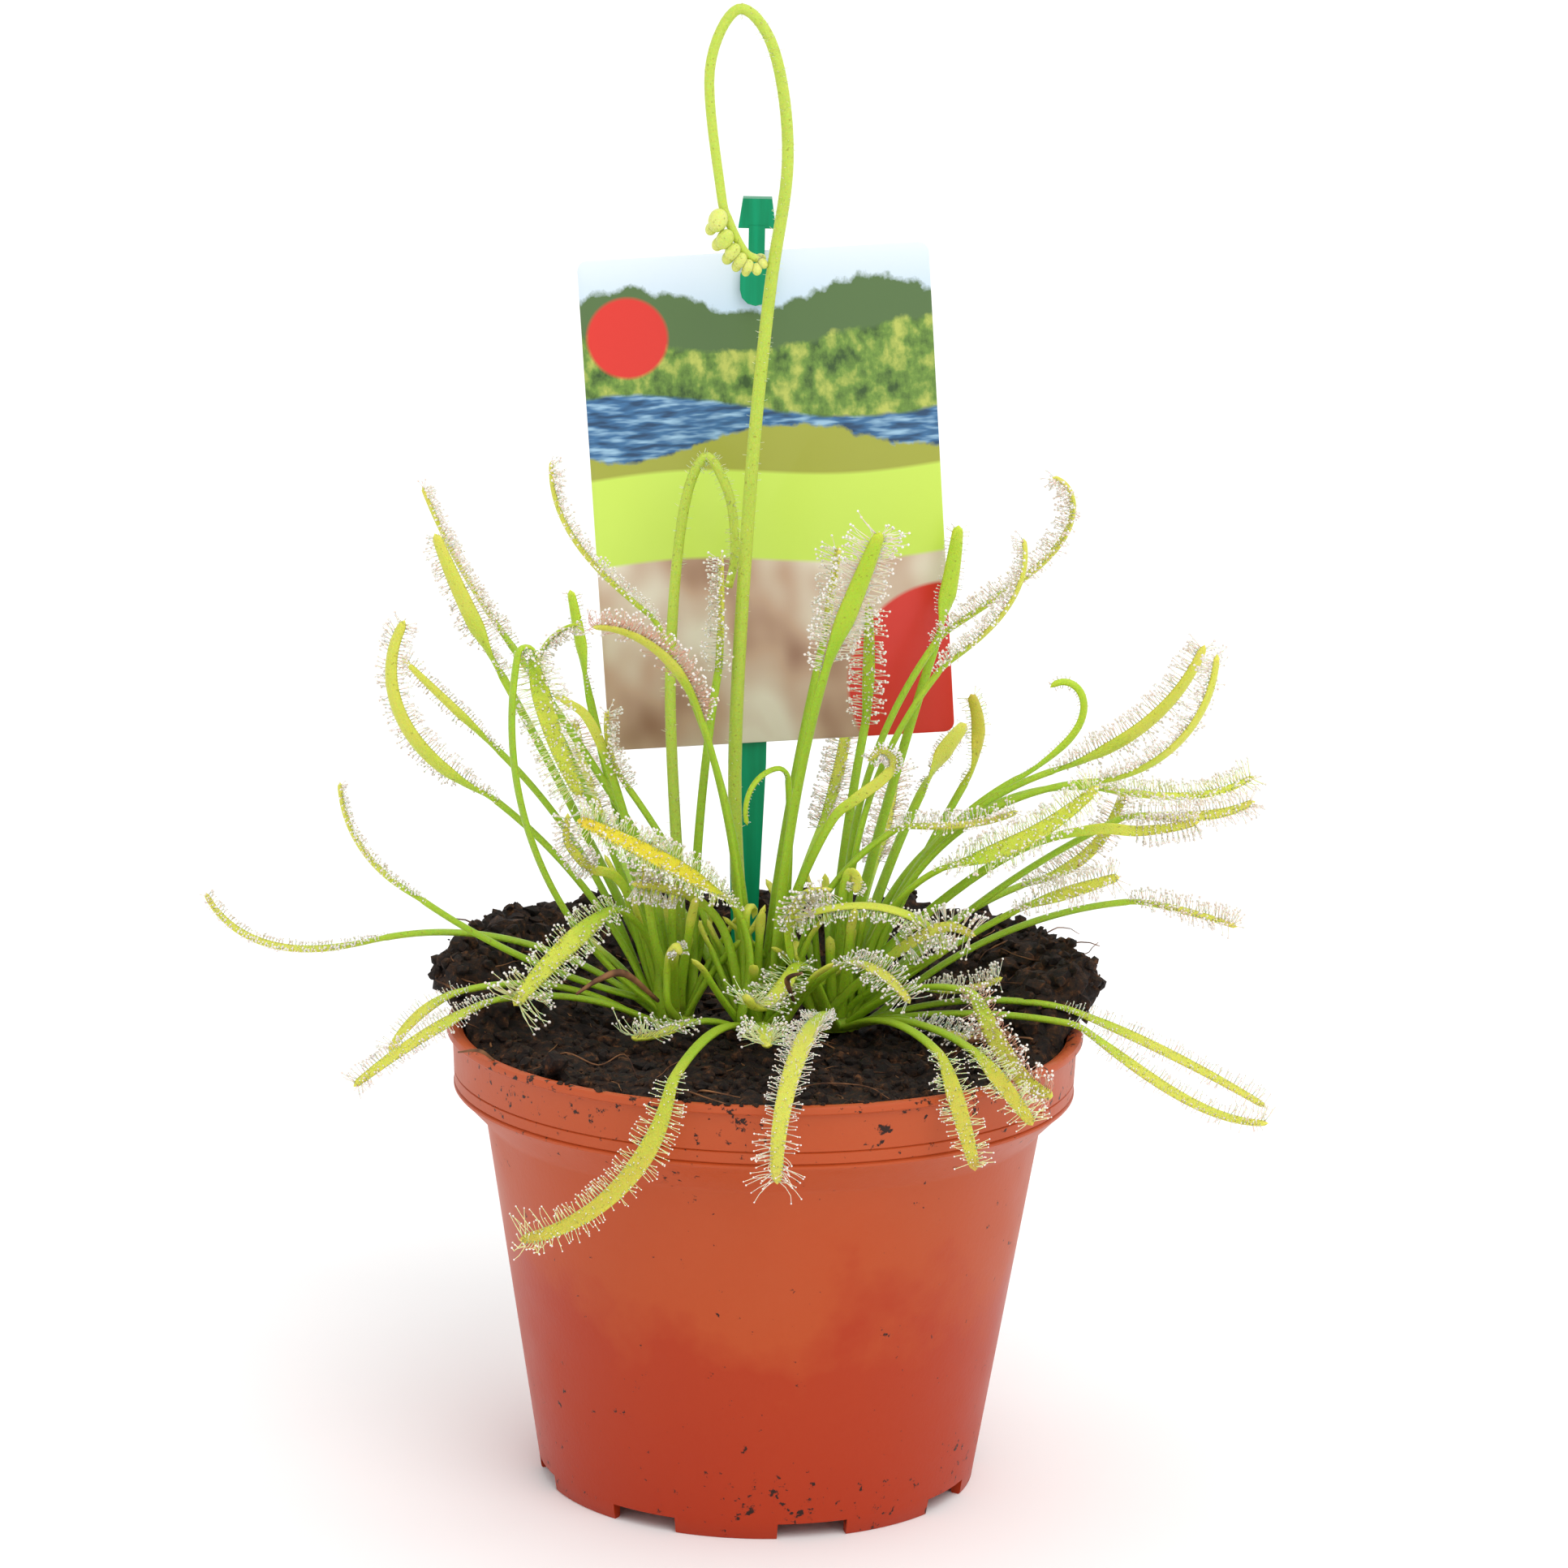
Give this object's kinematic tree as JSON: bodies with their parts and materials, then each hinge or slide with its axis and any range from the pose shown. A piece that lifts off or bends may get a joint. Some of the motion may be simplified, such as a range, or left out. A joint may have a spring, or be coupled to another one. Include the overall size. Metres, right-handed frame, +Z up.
{
  "type": "potted sundew plant",
  "caption": "Sundew with long strap-like leaves covered in sticky tentacles and a curled flower stalk, in a round tapered nursery pot of peat with a label card on a stake.",
  "frame": {"origin": "middle of the bounding box in X and Y, at the level of the pot's feet; the pot's axis stands at x = 0.0044, y = 0", "axes": "+Z up along the pot's axis, +Y from the viewer to the back where the label stands, +X to the viewer's right"},
  "size_m": [0.1522, 0.1095, 0.2081],
  "materials": {
    "pot_plastic": "satin terracotta colour",
    "peat": "crumbly",
    "leaf": "soft, satin",
    "scape": "soft, satin",
    "card": "satin print",
    "stake_plastic": "gloss"
  },
  "bodies": {
    "root": {"pot": "pot_plastic", "peat": "peat", "crown": "leaf", "leaf_01": "leaf", "leaf_02": "leaf", "leaf_03": "leaf", "leaf_04": "leaf", "leaf_05": "leaf", "leaf_06": "leaf", "leaf_07": "leaf", "leaf_08": "leaf", "leaf_09": "leaf", "leaf_10": "leaf", "leaf_11": "leaf", "leaf_12": "leaf", "leaf_13": "leaf", "leaf_14": "leaf", "leaf_15": "leaf", "leaf_16": "leaf", "leaf_17": "leaf", "leaf_18": "leaf", "leaf_19": "leaf", "leaf_20": "leaf", "leaf_21": "leaf", "leaf_22": "leaf", "leaf_23": "leaf", "leaf_24": "leaf", "leaf_25": "leaf", "leaf_26": "leaf", "leaf_27": "leaf", "leaf_28": "leaf", "leaf_29": "leaf", "leaf_30": "leaf", "leaf_31": "leaf", "leaf_32": "leaf", "leaf_33": "leaf", "leaf_34": "leaf", "leaf_35": "leaf", "leaf_36": "leaf", "leaf_37": "leaf", "leaf_38": "leaf", "leaf_39": "leaf", "leaf_40": "leaf", "leaf_41": "leaf", "leaf_42": "leaf", "leaf_43": "leaf", "leaf_44": "leaf", "leaf_45": "leaf", "leaf_46": "leaf", "leaf_47": "leaf", "leaf_48": "leaf", "leaf_49": "leaf", "leaf_50": "leaf", "leaf_51": "leaf", "leaf_52": "leaf", "leaf_53": "leaf", "scape_tall": "scape", "scape_short": "scape", "label_card": "card", "label_stake": "stake_plastic"}
  },
  "joints": []
}
